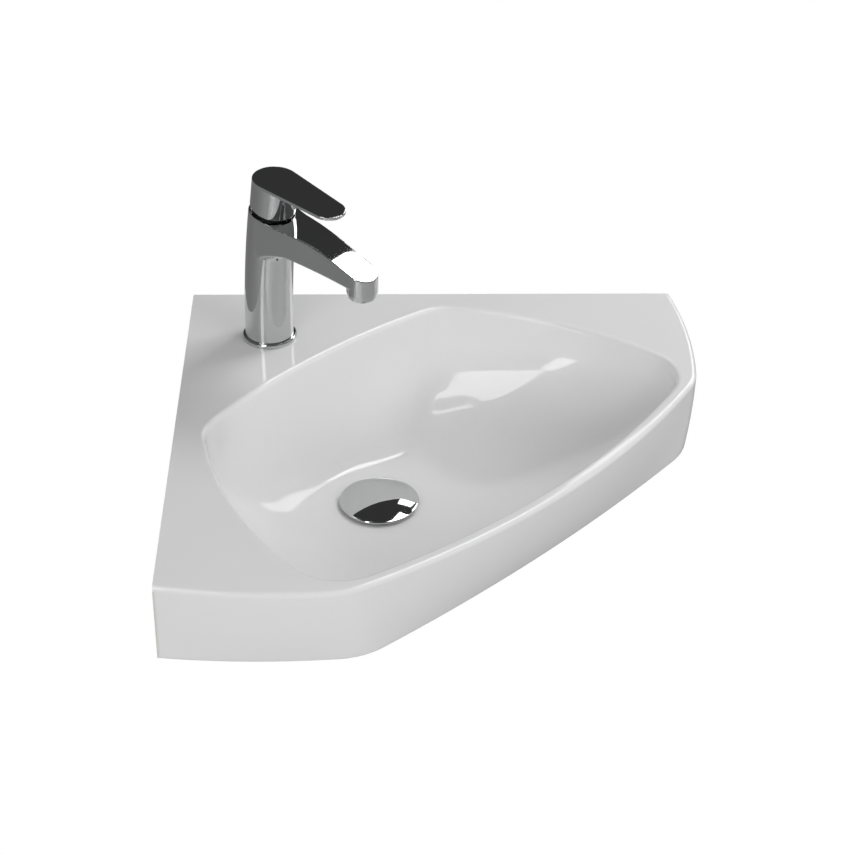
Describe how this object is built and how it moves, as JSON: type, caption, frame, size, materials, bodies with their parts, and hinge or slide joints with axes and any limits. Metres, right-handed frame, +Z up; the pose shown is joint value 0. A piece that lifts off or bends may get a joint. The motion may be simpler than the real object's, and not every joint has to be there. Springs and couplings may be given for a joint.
{
  "type": "corner basin",
  "caption": "Wall-hung corner washbasin in white glazed ceramic, with a single-lever mixer tap on its corner deck and a push-open waste in the bowl.",
  "frame": {"origin": "corner of the two walls at the level of the basin's deck, where both mounting faces would meet", "axes": "+Z up, +X along the back wall to the right as seen from the front, +Y into the back wall; the left wall is the plane X = 0"},
  "size_m": [0.4605, 0.4605, 0.3555],
  "materials": {
    "glaze": "gloss",
    "chrome_body": "mirror polished",
    "chrome_lever": "mirror polished",
    "chrome_cap": "mirror polished",
    "chrome_waste": "polished",
    "rubber": "matte",
    "steel": "satin",
    "spring_steel": "satin",
    "brass": "turned",
    "inner_plastic": "matte",
    "dark_plastic": "matte",
    "disc_ceramic": "lapped"
  },
  "bodies": {
    "basin_part": {"basin": "glaze", "tap_body": "chrome_body", "base_ring": "chrome_body", "base_gasket": "rubber", "fixing_stud": "steel", "horseshoe_seal": "rubber", "horseshoe_plate": "steel", "fixing_nut": "brass", "cartridge_base": "inner_plastic", "cartridge_seals": "rubber", "fixed_disc": "disc_ceramic", "cartridge_housing": "inner_plastic", "cartridge_nut": "brass", "cover_ring": "dark_plastic", "aerator_housing": "chrome_body", "aerator_insert": "dark_plastic", "aerator_washer": "rubber", "waste_body": "chrome_waste", "flange_gasket": "rubber", "cone_washer": "rubber", "slip_washer": "inner_plastic", "back_nut": "brass", "click_body": "brass", "click_spring": "spring_steel"},
    "turn_part": {"turning_carrier": "inner_plastic", "pivot_pin": "steel"},
    "lever_part": {"spindle": "steel", "lever": "chrome_lever", "lever_set_screw": "steel", "lever_plug": "dark_plastic"},
    "disc_part": {"moving_disc": "disc_ceramic", "disc_driver": "inner_plastic"},
    "cap_part": {"waste_cap": "chrome_cap", "cap_seal": "rubber", "plunger": "brass"}
  },
  "joints": [
    {"name": "lever_turn", "type": "hinge", "parent": "basin_part", "child": "turn_part", "pos_m": [0.082, -0.082, 0.1327], "axis": [0.1082, -0.1082, 0.9882], "range_deg": [-45, 45]},
    {"name": "lever_lift", "type": "hinge", "parent": "turn_part", "child": "lever_part", "pos_m": [0.08114, -0.08114, 0.12479], "axis": [-0.7071, -0.7071, 0], "range_deg": [0, 20]},
    {"name": "disc_slide", "type": "slide", "parent": "turn_part", "child": "disc_part", "axis": [0.6988, -0.6988, -0.153], "range_m": [0, 0.0043]},
    {"name": "waste_pop", "type": "slide", "parent": "basin_part", "child": "cap_part", "axis": [0, 0, 1], "range_m": [0, 0.009], "deforming": ["click_spring"]}
  ],
  "couplings": [
    {"joint": "disc_slide", "follows": "lever_lift", "m_per_rad": 0.01205}
  ]
}
